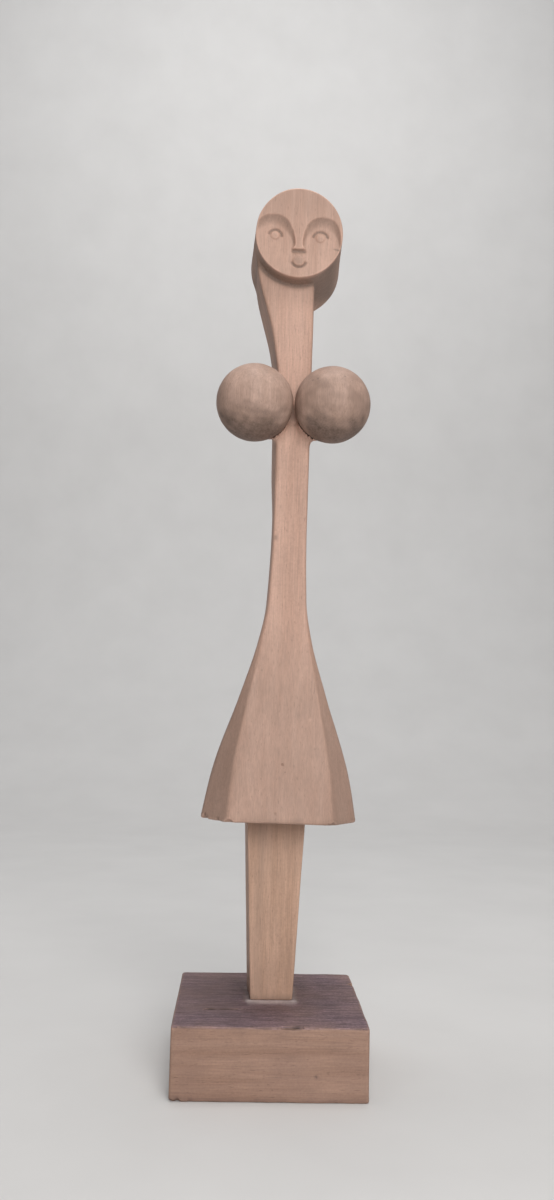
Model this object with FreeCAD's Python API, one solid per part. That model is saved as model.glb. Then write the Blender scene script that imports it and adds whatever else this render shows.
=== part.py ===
import FreeCAD, Part
import math
import os

# A carved wooden figure on a square block. Millimetres, +Z up, the figure faces -Y.
# The origin is the centre of the block's underside.
# Everything above the block is made upright on the leg's own centre line and then leaned
# a little to +X, the way the leg was set on the block.

# --- block ---
PLINTH_TOP_WIDTH = 64.0
PLINTH_BOTTOM_WIDTH = 64.4
PLINTH_HEIGHT = 23.2
PLINTH_EDGE = 0.6

# --- how the figure stands on it ---
LEG_X = 1.1
LEG_Y = 4.5
LEAN_DEG = 0.66

# --- leg ---
FOOT_LEFT = -7.75
FOOT_RIGHT = 7.4
FOOT_DEPTH = 15.0
LEG_TOP_LEFT = -10.85
LEG_TOP_RIGHT = 10.0
LEG_TOP_DEPTH = 19.0
LEG_SPLAY = 1.0
LEG_EDGE = 0.5
TENON_RADIUS = 6.0
TENON_LENGTH = 22.0

# --- skirt, waist, chest and neck: each profile is a list of (height, value) ---
HEM_Z = 85.6
NECK_TOP_Z = 297.0
HALF_WIDTH = [
    (85.6, 27.4),
    (102.0, 24.2),
    (129.0, 15.3),
    (148.0, 9.6),
    (163.0, 7.0),
    (190.0, 6.15),
    (300.0, 6.6),
]
SWAY = [(85.6, 0.0), (140.0, 0.1), (166.0, 0.4), (205.0, 0.6), (240.0, 0.3), (297.0, 0.0)]
FLARE = [(247.0, 0.0), (261.0, 2.2), (286.0, 8.4), (297.0, 9.4)]
FRONT_Y = [(85.6, -20.0), (129.0, -13.6), (163.0, -10.3), (216.0, -10.0), (236.0, -8.2), (300.0, -8.0)]
BACK_Y = [
    (85.6, 28.0),
    (129.0, 18.5),
    (160.0, 13.5),
    (190.0, 15.0),
    (225.0, 20.5),
    (255.0, 20.0),
    (300.0, 17.0),
]
CORNER = [(85.6, 9.3), (102.0, 7.5), (129.0, 3.3), (150.0, 1.1), (170.0, 0.7), (300.0, 0.7)]
CORNER_SLOPE = 1.2
SECTION_COUNT = 24

# --- head: a short drum, a little larger at the back, with a flat face ---
HEAD_Z = 297.0
HEAD_FRONT_Y = -14.0
HEAD_BACK_Y = 18.0
FACE_HALF_WIDTH = 15.96
FACE_HALF_HEIGHT = 16.75
HEAD_BACK_Z = 296.3
HEAD_BACK_HALF_WIDTH = 17.55
HEAD_BACK_HALF_HEIGHT = 18.4

# --- face, in x and in height above the head's centre ---
BROW_TOP = 6.9
LEFT_BROW = [(-18.0, 3.0), (-14.1, 4.8), (-8.3, BROW_TOP), (-2.7, 4.4), (-1.3, 0.4)]
RIGHT_BROW = [(1.3, 0.4), (3.3, 4.2), (7.6, 6.4), (12.9, 4.9), (18.0, 2.0)]
NOSE_TIP_HALF_WIDTH = 2.3
NOSE_TIP_DROP = 6.3
BROW_DEPTH = 1.7
CHIN_DEPTH = 0.2
EYES = [(-8.9, -0.8), (7.9, -1.1)]
EYE_RADIUS = 1.3
MOUTH = (0.1, -9.8)
MOUTH_RADIUS = 2.0
BUTTON_HEIGHT = 0.45
BUTTON_ROOT = 1.5

# --- balls and the pegs that hold them: (x, y, z), radius ---
BALL_LEFT = ((-13.85, -14.0, 233.0), 13.85)
BALL_RIGHT = ((13.96, -14.0, 233.4), 13.7)
PEG_ANGLE_DEG = 46.0
PEG_RADIUS = 1.25
PEG_IN_BALL = 6.0
PEG_IN_CHEST = 4.0

# --- screw: slotted and countersunk, 4 mm by 40 mm ---
SCREW_RADIUS = 2.0
SCREW_CORE_RADIUS = 1.5
SCREW_HEAD_RADIUS = 3.75
SCREW_HEAD_HEIGHT = 2.2
SCREW_LENGTH = 40.0
SCREW_TIP = 5.0
SCREW_SHANK = 21.0
SCREW_RUNOUT = 1.0
SCREW_SINK = 0.8
SLOT_WIDTH = 1.0
SLOT_DEPTH = 0.9

# --- fits ---
GLUE_GAP = 0.05
END_GAP = 0.3
SCREW_CLEARANCE = 0.25

# --- how far a cutting shape stands clear of what it cuts ---
OVERSIZE = 5.0

Y_AXIS = FreeCAD.Vector(0, 1, 0)
Z_AXIS = FreeCAD.Vector(0, 0, 1)


def vector(x, y, z):
    return FreeCAD.Vector(x, y, z)


def profile(points, height):
    """The value of a profile at a height, on a smooth curve that never overshoots its points."""
    heights = [h for h, _ in points]
    values = [v for _, v in points]
    if height <= heights[0]:
        return values[0]
    if height >= heights[-1]:
        return values[-1]
    slopes = [(values[i + 1] - values[i]) / (heights[i + 1] - heights[i]) for i in range(len(points) - 1)]
    tangents = [slopes[0]]
    for before, after in zip(slopes, slopes[1:]):
        same_way = before * after > 0
        tangents.append(2 * before * after / (before + after) if same_way else 0.0)
    tangents.append(slopes[-1])
    i = max(k for k, h in enumerate(heights[:-1]) if h <= height)
    span = heights[i + 1] - heights[i]
    t = (height - heights[i]) / span
    start = values[i] * (2 * t**3 - 3 * t**2 + 1) + span * tangents[i] * (t**3 - 2 * t**2 + t)
    end = values[i + 1] * (3 * t**2 - 2 * t**3) + span * tangents[i + 1] * (t**3 - t**2)
    return start + end


def polygon(points):
    return Part.makePolygon(points + [points[0]])


def chamfered_rectangle(left, right, front, back, corner, slope, z, splay=0.0):
    """An eight-sided outline: each corner is cut off by corner in x and corner * slope in y.

    The left side stands further out at the back than at the front, by splay.
    """
    dy = corner * slope
    back_left = left - splay
    outline = [
        (left + corner, front),
        (right - corner, front),
        (right, front + dy),
        (right, back - dy),
        (right - corner, back),
        (back_left + corner, back),
        (back_left, back - dy),
        (left, front + dy),
    ]
    return polygon([vector(x, y, z) for x, y in outline])


def set_on_block(shape):
    """Moves a shape from the leg's centre line to its place on the block, leaning towards +X."""
    placed = shape.copy()
    placed.translate(vector(LEG_X, 0, 0))
    placed.rotate(vector(LEG_X, 0, PLINTH_HEIGHT), Y_AXIS, LEAN_DEG)
    return placed


def ellipse_wire(half_width, half_height, y, z):
    """An ellipse in an upright plane, with its larger radius upright."""
    centre = vector(0, y, z)
    curve = Part.Ellipse(centre + vector(0, 0, half_height), centre + vector(half_width, 0, 0), centre)
    return Part.Wire([curve.toShape()])


# ---------------------------------------------------------------- block and its screw


def screw_solid():
    """A countersunk wood screw, standing on its head, with its axis on Z and its tip up."""
    thread_end = SCREW_LENGTH - SCREW_TIP
    outline = [
        (0, 0),
        (SCREW_HEAD_RADIUS, 0),
        (SCREW_RADIUS, SCREW_HEAD_HEIGHT),
        (SCREW_RADIUS, SCREW_SHANK),
        (SCREW_CORE_RADIUS, SCREW_SHANK + SCREW_RUNOUT),
        (SCREW_CORE_RADIUS, thread_end),
        (0, SCREW_LENGTH),
    ]
    face = Part.Face(polygon([vector(r, 0, z) for r, z in outline]))
    solid = face.revolve(vector(0, 0, 0), Z_AXIS, 360)
    slot_length = 2 * SCREW_HEAD_RADIUS + OVERSIZE
    slot = Part.makeBox(slot_length, SLOT_WIDTH, SLOT_DEPTH, vector(-slot_length / 2, -SLOT_WIDTH / 2, 0))
    return solid.cut(slot)


def screw_in_place():
    screw = screw_solid()
    screw.translate(vector(LEG_X, LEG_Y, SCREW_SINK))
    return screw


def screw_hole_in_plinth():
    """The shank's clearance hole, its countersink, and the short well that sinks the head."""
    radius = SCREW_RADIUS + SCREW_CLEARANCE
    head_radius = SCREW_HEAD_RADIUS + SCREW_CLEARANCE
    shank = Part.makeCylinder(radius, PLINTH_HEIGHT + 2 * OVERSIZE, vector(0, 0, -OVERSIZE))
    sink_height = SCREW_HEAD_HEIGHT * (head_radius - radius) / (SCREW_HEAD_RADIUS - SCREW_RADIUS)
    sink = Part.makeCone(head_radius, radius, sink_height, vector(0, 0, SCREW_SINK))
    well = Part.makeCylinder(head_radius, SCREW_SINK + OVERSIZE, vector(0, 0, -OVERSIZE))
    hole = shank.fuse([sink, well])
    hole.translate(vector(LEG_X, LEG_Y, 0))
    return hole


def plinth():
    bottom = PLINTH_BOTTOM_WIDTH / 2
    top = PLINTH_TOP_WIDTH / 2
    lower = chamfered_rectangle(-bottom, bottom, -bottom, bottom, PLINTH_EDGE, 1.0, 0)
    upper = chamfered_rectangle(-top, top, -top, top, PLINTH_EDGE, 1.0, PLINTH_HEIGHT)
    block = Part.makeLoft([lower, upper], True, True)
    rims = [edge for edge in block.Edges if edge.BoundBox.ZLength < PLINTH_EDGE]
    return block.makeChamfer(PLINTH_EDGE, rims).cut(screw_hole_in_plinth())


# ---------------------------------------------------------------- leg


def leg_section(share):
    """The leg's outline at a share of its height: 0 on the block, 1 under the hem."""
    left = FOOT_LEFT + share * (LEG_TOP_LEFT - FOOT_LEFT)
    right = FOOT_RIGHT + share * (LEG_TOP_RIGHT - FOOT_RIGHT)
    half_depth = (FOOT_DEPTH + share * (LEG_TOP_DEPTH - FOOT_DEPTH)) / 2
    z = PLINTH_HEIGHT + share * (HEM_Z - GLUE_GAP - PLINTH_HEIGHT)
    return chamfered_rectangle(
        left, right, LEG_Y - half_depth, LEG_Y + half_depth, LEG_EDGE, 1.0, z, LEG_SPLAY
    )


def leg_post():
    """The tapered post with its tenon, cut level where it stands on the block."""
    below = OVERSIZE / (HEM_Z - PLINTH_HEIGHT)
    post = Part.makeLoft([leg_section(-below), leg_section(1)], True, True)
    tenon_foot = vector(0, LEG_Y, HEM_Z - OVERSIZE)
    tenon = Part.makeCylinder(TENON_RADIUS, TENON_LENGTH + OVERSIZE, tenon_foot)
    leg = set_on_block(post.fuse(tenon))
    side = PLINTH_TOP_WIDTH
    ground = Part.makeBox(side, side, PLINTH_HEIGHT, vector(-side / 2, -side / 2, 0))
    pilot_foot = vector(LEG_X, LEG_Y, SCREW_SINK)
    pilot = Part.makeCylinder(SCREW_RADIUS + GLUE_GAP, SCREW_LENGTH + END_GAP, pilot_foot)
    return leg.cut([ground, pilot]).removeSplitter()


# ---------------------------------------------------------------- figure


def body_section(z):
    right = profile(SWAY, z) + profile(HALF_WIDTH, z)
    left = profile(SWAY, z) - profile(HALF_WIDTH, z) - profile(FLARE, z)
    return chamfered_rectangle(
        left, right, profile(FRONT_Y, z), profile(BACK_Y, z), profile(CORNER, z), CORNER_SLOPE, z
    )


def body():
    """Skirt, waist, chest and neck in one smooth loft. The neck flares into the head on one side only."""
    step = (NECK_TOP_Z - HEM_Z) / SECTION_COUNT
    sections = [body_section(HEM_Z + i * step) for i in range(SECTION_COUNT + 1)]
    return Part.makeLoft(sections, True, False)


def head_drum():
    face = ellipse_wire(FACE_HALF_WIDTH, FACE_HALF_HEIGHT, HEAD_FRONT_Y, HEAD_Z)
    back = ellipse_wire(HEAD_BACK_HALF_WIDTH, HEAD_BACK_HALF_HEIGHT, HEAD_BACK_Y, HEAD_BACK_Z)
    return Part.makeLoft([face, back], True, True)


def face_point(x, height, y=HEAD_FRONT_Y):
    return vector(x, y, HEAD_Z + height)


def cheek_depth(height):
    """How far the cheeks lie behind the forehead: most under the brows, least at the chin."""
    share = (height + FACE_HALF_HEIGHT) / (BROW_TOP + FACE_HALF_HEIGHT)
    return CHIN_DEPTH + share * (BROW_DEPTH - CHIN_DEPTH)


def cheek_wedge():
    """All that would be cut away in front of the cheeks if there were no brow and nose."""
    side = FACE_HALF_WIDTH + OVERSIZE
    low = -FACE_HALF_HEIGHT - OVERSIZE
    outline = [
        face_point(-side, low, HEAD_FRONT_Y - OVERSIZE),
        face_point(-side, BROW_TOP, HEAD_FRONT_Y - OVERSIZE),
        face_point(-side, BROW_TOP, HEAD_FRONT_Y + cheek_depth(BROW_TOP)),
        face_point(-side, low, HEAD_FRONT_Y + cheek_depth(low)),
    ]
    return Part.Face(polygon(outline)).extrude(vector(2 * side, 0, 0))


def forehead_and_nose():
    """The T that stays standing at the level of the flat face."""
    y = HEAD_FRONT_Y - 2 * OVERSIZE
    side = FACE_HALF_WIDTH + OVERSIZE
    top = FACE_HALF_HEIGHT + OVERSIZE
    left = Part.BSplineCurve()
    left.interpolate([face_point(x, h, y) for x, h in LEFT_BROW])
    right = Part.BSplineCurve()
    right.interpolate([face_point(x, h, y) for x, h in RIGHT_BROW])
    corners = [
        face_point(*LEFT_BROW[-1], y),
        face_point(-NOSE_TIP_HALF_WIDTH, -NOSE_TIP_DROP, y),
        face_point(NOSE_TIP_HALF_WIDTH, -NOSE_TIP_DROP, y),
        face_point(*RIGHT_BROW[0], y),
    ]
    nose = [Part.makeLine(a, b) for a, b in zip(corners, corners[1:])]
    above = [
        face_point(*RIGHT_BROW[-1], y),
        face_point(side, top, y),
        face_point(-side, top, y),
        face_point(*LEFT_BROW[0], y),
    ]
    frame = [Part.makeLine(a, b) for a, b in zip(above, above[1:])]
    wire = Part.Wire([left.toShape()] + nose + [right.toShape()] + frame)
    return Part.Face(wire).extrude(vector(0, 3 * OVERSIZE, 0))


def face_button(x, height, radius):
    """An eye or the mouth: a low round disc on the cheek."""
    front = HEAD_FRONT_Y + cheek_depth(height) - BUTTON_HEIGHT
    return Part.makeCylinder(radius, BUTTON_HEIGHT + BUTTON_ROOT, face_point(x, height, front), Y_AXIS)


def carved_head():
    head = head_drum().cut(cheek_wedge().cut(forehead_and_nose()))
    buttons = [face_button(x, height, EYE_RADIUS) for x, height in EYES]
    buttons.append(face_button(*MOUTH, MOUTH_RADIUS))
    return head.fuse(buttons)


# ---------------------------------------------------------------- balls and pegs


def peg_direction(ball):
    """From a ball's centre back and towards the middle of the chest."""
    angle = math.radians(PEG_ANGLE_DEG)
    towards_middle = -math.copysign(1, ball[0][0])
    return vector(towards_middle * math.cos(angle), math.sin(angle), 0)


def ball_sphere(ball, extra=0.0):
    return Part.makeSphere(ball[1] + extra, vector(*ball[0]), Z_AXIS, -90, 90, 360)


def peg_solid(ball, extra_radius=0.0, extra_length=0.0):
    direction = peg_direction(ball)
    start = vector(*ball[0]) + direction * (ball[1] - PEG_IN_BALL - extra_length)
    length = PEG_IN_BALL + PEG_IN_CHEST + 2 * extra_length
    return Part.makeCylinder(PEG_RADIUS + extra_radius, length, start, direction)


def ball(spec):
    return set_on_block(ball_sphere(spec).cut(peg_solid(spec, GLUE_GAP, END_GAP)))


def carved_figure():
    figure = body().fuse(carved_head())
    seats = [ball_sphere(spec, GLUE_GAP) for spec in (BALL_LEFT, BALL_RIGHT)]
    peg_holes = [peg_solid(spec, GLUE_GAP, END_GAP) for spec in (BALL_LEFT, BALL_RIGHT)]
    socket_foot = vector(0, LEG_Y, HEM_Z - OVERSIZE)
    socket_length = OVERSIZE + TENON_LENGTH + END_GAP
    socket = Part.makeCylinder(TENON_RADIUS + GLUE_GAP, socket_length, socket_foot)
    return set_on_block(figure.cut(seats + peg_holes + [socket]))


NODES = {
    "plinth": plinth(),
    "plinth_screw": screw_in_place(),
    "leg_post": leg_post(),
    "carved_figure": carved_figure(),
    "ball_left": ball(BALL_LEFT),
    "ball_right": ball(BALL_RIGHT),
    "ball_peg_left": set_on_block(peg_solid(BALL_LEFT)),
    "ball_peg_right": set_on_block(peg_solid(BALL_RIGHT)),
}

os.makedirs("parts", exist_ok=True)
for name, shape in NODES.items():
    solids = shape.Solids
    box = shape.BoundBox
    print(f"{name}: solids {len(solids)}, valid {shape.isValid()}, volume {shape.Volume:.1f}")
    print(f"  x {box.XMin:.2f} to {box.XMax:.2f}, y {box.YMin:.2f} to {box.YMax:.2f}")
    print(f"  z {box.ZMin:.2f} to {box.ZMax:.2f}")
    part = solids[0] if len(solids) == 1 else Part.makeCompound(solids)
    part.exportStep(f"parts/{name}.step")
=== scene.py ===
import math
from concurrent.futures import ThreadPoolExecutor

import bpy
import numpy as np
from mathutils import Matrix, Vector


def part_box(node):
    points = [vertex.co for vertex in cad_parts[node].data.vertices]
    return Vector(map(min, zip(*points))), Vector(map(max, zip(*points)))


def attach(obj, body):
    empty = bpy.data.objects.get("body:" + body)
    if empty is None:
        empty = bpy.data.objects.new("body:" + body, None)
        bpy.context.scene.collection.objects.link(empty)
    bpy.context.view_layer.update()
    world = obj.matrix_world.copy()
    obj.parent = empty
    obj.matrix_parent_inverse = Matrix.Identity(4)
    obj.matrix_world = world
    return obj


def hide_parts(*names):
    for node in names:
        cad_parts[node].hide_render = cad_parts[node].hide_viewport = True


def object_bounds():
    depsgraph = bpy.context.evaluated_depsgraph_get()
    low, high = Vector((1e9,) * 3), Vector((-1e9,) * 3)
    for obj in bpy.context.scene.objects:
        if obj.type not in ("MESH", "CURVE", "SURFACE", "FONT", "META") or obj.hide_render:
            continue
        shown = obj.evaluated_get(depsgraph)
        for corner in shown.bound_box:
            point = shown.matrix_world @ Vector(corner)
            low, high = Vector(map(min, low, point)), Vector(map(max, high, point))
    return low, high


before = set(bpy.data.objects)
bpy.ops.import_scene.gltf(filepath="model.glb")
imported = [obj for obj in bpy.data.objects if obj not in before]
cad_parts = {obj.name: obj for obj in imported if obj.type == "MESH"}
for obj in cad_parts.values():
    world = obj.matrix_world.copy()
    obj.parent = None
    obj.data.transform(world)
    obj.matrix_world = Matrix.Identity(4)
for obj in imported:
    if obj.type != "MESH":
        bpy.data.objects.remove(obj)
CAD_LOW, CAD_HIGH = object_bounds()

# The wooden pieces are carved as distance fields: a field is negative inside the wood, zero on
# its surface and positive outside. Fields work in millimetres, and the meshes are made in metres.
MM = 0.001


# ---------------------------------------------------------------- places, from the frame


def box_mm(node):
    """The lowest and the highest corner of a CAD node in millimetres."""
    low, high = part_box(node)
    return np.array(low) / MM, np.array(high) / MM


def ball_place(node):
    low, high = box_mm(node)
    return (low + high) / 2, (high[2] - low[2]) / 2


PLINTH_LOW, PLINTH_HIGH = box_mm("plinth")
LEG_LOW, LEG_HIGH = box_mm("leg_post")
FIGURE_LOW, FIGURE_HIGH = box_mm("carved_figure")
SCREW_LOW, SCREW_HIGH = box_mm("plinth_screw")
PEG_LOW, PEG_HIGH = box_mm("ball_peg_left")
BALLS = [ball_place("ball_left"), ball_place("ball_right")]

PLINTH_TOP = PLINTH_HIGH[2]
FOOT_X = (SCREW_LOW[0] + SCREW_HIGH[0]) / 2
LEG_Y = (LEG_LOW[1] + LEG_HIGH[1]) / 2
LEG_TOP_X = (LEG_LOW[0] + LEG_HIGH[0]) / 2
LEAN = math.radians(0.66)
HEM_RISE = (FIGURE_HIGH[0] - FIGURE_LOW[0]) / 2 * math.sin(LEAN)
HEM_Z = FIGURE_LOW[2] + HEM_RISE
# the face stands as far forward as the left ball's centre
FACE_Y = BALLS[0][0][1]
HEAD_DEPTH = 32.0
# from the top of the head down to its centre
CROWN_HEIGHT = 17.7
HEAD_Z = FIGURE_HIGH[2] - CROWN_HEIGHT

# ---------------------------------------------------------------- field tools


def curve(points):
    """A function of height through (height, value) points, smooth and without overshoot."""
    heights, values = np.array(points).T
    slopes = np.diff(values) / np.diff(heights)
    before, after = slopes[:-1], slopes[1:]
    same_way = before * after > 0
    middle = np.where(same_way, 2 * before * after / np.where(same_way, before + after, 1.0), 0.0)
    tangents = np.concatenate([[slopes[0]], middle, [slopes[-1]]])
    at = np.linspace(heights[0], heights[-1], 1000)
    i = np.clip(np.searchsorted(heights, at, side="right") - 1, 0, len(slopes) - 1)
    span = heights[i + 1] - heights[i]
    t = (at - heights[i]) / span
    start = values[i] * (2 * t**3 - 3 * t**2 + 1) + span * tangents[i] * (t**3 - 2 * t**2 + t)
    end = values[i + 1] * (3 * t**2 - 2 * t**3) + span * tangents[i + 1] * (t**3 - t**2)
    table = start + end
    return lambda height: np.interp(height, at, table)


def smooth_max(a, b, radius):
    """Cuts one field by another, with the edge where they meet rounded off."""
    overlap = np.maximum(radius - np.abs(a - b), 0.0)
    return np.maximum(a, b) + overlap * overlap / (4 * radius)


def smooth_min(a, b, radius):
    """Joins two fields, with a hollow fillet where they meet."""
    return -smooth_max(-a, -b, radius)


def rise(value, low, high):
    """0 below low, 1 above high, and a smooth step between them."""
    t = np.clip((value - low) / (high - low), 0.0, 1.0)
    return t * t * (3 - 2 * t)


def hump(distance, width):
    """1 where the distance is zero, fading to 0 either side."""
    return np.exp(-((distance / width) ** 2))


def ripple(points, size, seed):
    """Smooth irregular values between -1 and 1 that change over about that many millimetres."""
    rng = np.random.default_rng(seed)
    directions = rng.normal(size=(3, 6))
    directions *= rng.uniform(1.2, 2.8, 6) / np.linalg.norm(directions, axis=0) / size
    waves = np.sin(points @ directions + rng.uniform(0, 2 * math.pi, 6))
    return np.clip(waves.sum(axis=1) / 3, -1, 1)


def sphere(points, centre, radius):
    return np.linalg.norm(points - centre, axis=1) - radius


def rod(points, start, direction, length, radius):
    """A round rod from start along a unit direction."""
    along = (points - start) @ direction
    out = np.linalg.norm(points - start - along[:, None] * direction, axis=1)
    return np.maximum(out - radius, np.maximum(-along, along - length))


UP = np.array([0.0, 0.0, 1.0])
FAR = 50.0
MARGIN = 8.0


def only_near(field, low, high):
    """The field in and around a box, and simply far away elsewhere, to save work."""

    def culled(points):
        inside = ((points > low - MARGIN) & (points < high + MARGIN)).all(axis=1)
        values = np.full(len(points), FAR)
        values[inside] = field(points[inside])
        return values

    return culled


def upright(points):
    """Points in the figure's own frame: the leg's centre line at x = 0, and no lean."""
    x = points[:, 0] - FOOT_X
    z = points[:, 2] - PLINTH_TOP
    cos, sin = math.cos(LEAN), math.sin(LEAN)
    return np.stack([x * cos - z * sin, points[:, 1], x * sin + z * cos + PLINTH_TOP], axis=1)


# ---------------------------------------------------------------- from a field to a mesh

# grid points along one side of a block, and points worked out at a time
BLOCK = 4
CHUNK = 50_000
# the surface may pass through a block whose middle is no further away than this many times its
# half diagonal, plus a margin in millimetres
NEAR_SHARE, NEAR_MARGIN = 1.2, 0.6
# steps either side of a point: for the slope that moves it, and for the bend that wears it
SLOPE_STEP, BEND_STEP = 0.05, 0.7
LEAST_STEEPNESS = 0.25
# how far ahead of the surface the painted corner shade looks, and how much each distance counts
CORNER_SHADE_WEIGHTS = ((1.0, 0.3), (2.5, 0.35), (6.0, 0.35))


def evaluate(field, points):
    """The field at many points, worked out in parallel."""
    parts = np.array_split(points, max(1, len(points) // CHUNK))
    with ThreadPoolExecutor() as pool:
        return np.concatenate(list(pool.map(field, parts)))


def spread(blocks, shape):
    """Repeats one value per block over the block's grid points."""
    for axis in range(3):
        blocks = blocks.repeat(BLOCK, axis=axis)
    return blocks[: shape[0], : shape[1], : shape[2]]


def sample(field, axes):
    """The field on a grid: exact near the surface, and only its sign further away."""
    shape = [len(axis) for axis in axes]
    middles, halves = [], []
    for axis in axes:
        first = axis[::BLOCK]
        last = axis[np.minimum(np.arange(0, len(axis), BLOCK) + BLOCK, len(axis) - 1)]
        middles.append((first + last) / 2)
        halves.append((last - first) / 2)
    centres = np.stack(np.meshgrid(*middles, indexing="ij"), axis=-1)
    reach = np.sqrt(sum(h**2 for h in np.meshgrid(*halves, indexing="ij")))
    coarse = evaluate(field, centres.reshape(-1, 3)).reshape(reach.shape)
    near = np.abs(coarse) < NEAR_SHARE * reach + NEAR_MARGIN
    values = spread(coarse, shape).astype(np.float32)
    where = np.nonzero(spread(near, shape))
    points = np.stack([axis[i] for axis, i in zip(axes, where)], axis=1)
    values[where] = evaluate(field, points)
    return values


def net(values, axes):
    """Surface nets: one vertex in every grid cell that the surface crosses, and their quads."""
    cells = [n - 1 for n in values.shape]
    corners = [np.array(c) for c in np.ndindex(2, 2, 2)]
    inside = values < 0
    count = np.zeros(cells, np.int8)
    for c in corners:
        count += inside[c[0] : c[0] + cells[0], c[1] : c[1] + cells[1], c[2] : c[2] + cells[2]]
    where = np.nonzero((count > 0) & (count < 8))
    numbers = np.full(cells, -1, np.int64)
    numbers[where] = np.arange(len(where[0]))
    base = np.stack(where, axis=1)
    at = {tuple(c): values[tuple((base + c).T)] for c in corners}
    total = np.zeros(base.shape)
    crossings = np.zeros(len(base))
    for c in corners:
        for axis in np.flatnonzero(c == 0):
            other = c.copy()
            other[axis] = 1
            a, b = at[tuple(c)], at[tuple(other)]
            crossed = (a < 0) != (b < 0)
            place = np.tile(c.astype(float), (len(base), 1))
            place[:, axis] += np.where(crossed, a / np.where(crossed, a - b, 1.0), 0.0)
            total += place * crossed[:, None]
            crossings += crossed
    offset = total / crossings[:, None]
    vertices = np.empty(base.shape)
    for k, axis in enumerate(axes):
        low = axis[base[:, k]]
        vertices[:, k] = low + offset[:, k] * (axis[base[:, k] + 1] - low)
    quads = []
    for k in range(3):
        u, v = (k + 1) % 3, (k + 2) % 3
        lower = [slice(1, n - 1) for n in values.shape]
        lower[k] = slice(0, values.shape[k] - 1)
        upper = list(lower)
        upper[k] = slice(1, values.shape[k])
        first, second = inside[tuple(lower)], inside[tuple(upper)]
        edges = np.stack(np.nonzero(first != second), axis=1)
        outward = first[tuple(edges.T)]
        edges[:, [u, v]] += 1
        ring = []
        for du, dv in ((1, 1), (0, 1), (0, 0), (1, 0)):
            cell = edges.copy()
            cell[:, u] -= du
            cell[:, v] -= dv
            ring.append(numbers[tuple(cell.T)])
        ring = np.stack(ring, axis=1)
        quads.append(np.where(outward[:, None], ring, ring[:, ::-1]))
    return vertices, np.concatenate(quads)


def slope_and_bend(field, points, reach):
    """The field's gradient, and how far the surface bends: up on an edge, down in a hollow."""
    slope = np.empty(points.shape)
    bend = np.zeros(len(points))
    for k, axis in enumerate(np.eye(3)):
        ahead = evaluate(field, points + reach * axis)
        behind = evaluate(field, points - reach * axis)
        slope[:, k] = (ahead - behind) / (2 * reach)
        bend += ahead + behind
    return slope, bend / reach


def settle(field, points, limit):
    """Moves the vertices onto the surface itself."""
    slope, _ = slope_and_bend(field, points, SLOPE_STEP)
    steepness = np.maximum((slope**2).sum(axis=1), LEAST_STEEPNESS)
    for _ in range(2):
        move = np.clip(evaluate(field, points) / steepness, -limit, limit)
        points = points - slope * move[:, None]
    return points


def corner_shade(points, normals):
    """0 on an open surface, towards 1 deep in a corner, from the room in front of each vertex; the
    materials darken by it as painted shade.
    """
    total = np.zeros(len(points))
    for reach, weight in CORNER_SHADE_WEIGHTS:
        room = evaluate(everything, points + normals * reach)
        total += weight * np.clip(1 - room / reach, 0, 1)
    return total


def carve(name, field, axes, marks):
    """Makes a piece from its field, with attributes for edges, corners and marks; the materials lighten
    the edges as wear and painted highlight, and darken the corners as painted shade with grime.
    """
    vertices, quads = net(sample(field, axes), axes)
    vertices = settle(field, vertices, min(np.diff(axis).min() for axis in axes))
    slope, bend = slope_and_bend(field, vertices, BEND_STEP)
    normals = slope / np.maximum(np.linalg.norm(slope, axis=1), 1e-6)[:, None]
    mesh = bpy.data.meshes.new(name)
    mesh.from_pydata((vertices * MM).tolist(), [], quads.tolist())
    mesh.polygons.foreach_set("use_smooth", np.ones(len(quads), bool))
    attributes = {"edge": bend, "corner": corner_shade(vertices, normals)}
    for label, mark in marks.items():
        attributes[label] = mark(vertices)
    for label, values in attributes.items():
        layer = mesh.attributes.new(label, "FLOAT", "POINT")
        layer.data.foreach_set("value", values.astype(np.float32))
    mesh.validate()
    mesh.update()
    piece = bpy.data.objects.new(name, mesh)
    bpy.context.scene.collection.objects.link(piece)
    print(f"{name}: {len(vertices)} vertices")
    return piece


def spacing(low, high, step, fine=None, fine_step=None):
    """Grid lines from low to high, closer together inside the fine stretch."""
    if fine is None:
        return np.linspace(low, high, int(math.ceil((high - low) / step)) + 1)
    lines = []
    stretches = ((low, fine[0], step), (fine[0], fine[1], fine_step), (fine[1], high, step))
    for start, end, width in stretches:
        lines.append(spacing(start, end, width)[:-1])
    return np.concatenate(lines + [[high]])


# ---------------------------------------------------------------- block

SCREW_RADIUS = 2.0
SCREW_CLEARANCE = 0.25
SCREW_HEAD_RADIUS = (SCREW_HIGH[0] - SCREW_LOW[0]) / 2
SCREW_HEAD_HEIGHT = 2.2
SCREW_SINK = SCREW_LOW[2]
PLINTH_TAPER = 0.2
# half the width of the paler patch round the leg's foot
FOOT_PATCH = 8.2


def screw_hole(points):
    """The shank's clearance hole, its countersink, and the short well that sinks the head."""
    out = np.hypot(points[:, 0] - FOOT_X, points[:, 1] - LEG_Y)
    share = np.clip((points[:, 2] - SCREW_SINK) / SCREW_HEAD_HEIGHT, 0, 1)
    radius = SCREW_HEAD_RADIUS + share * (SCREW_RADIUS - SCREW_HEAD_RADIUS) + SCREW_CLEARANCE
    return out - radius


# chips out of the block: x, y, z, size
PLINTH_CHIPS = [
    (PLINTH_LOW[0], PLINTH_LOW[1], PLINTH_LOW[2], 1.5),
    (PLINTH_LOW[0] + 7, PLINTH_LOW[1], PLINTH_LOW[2], 0.6),
    (PLINTH_HIGH[0], PLINTH_LOW[1], PLINTH_TOP, 1.0),
    (PLINTH_LOW[0], PLINTH_LOW[1], PLINTH_TOP, 1.2),
    (7.4, PLINTH_LOW[1], PLINTH_TOP, 0.9),
    (PLINTH_HIGH[0], 18.0, PLINTH_TOP, 1.1),
    (-20.0, PLINTH_HIGH[1], PLINTH_LOW[2], 1.5),
]
CHIP_STRETCH = [0.45, 1.0, 1.0]

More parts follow.
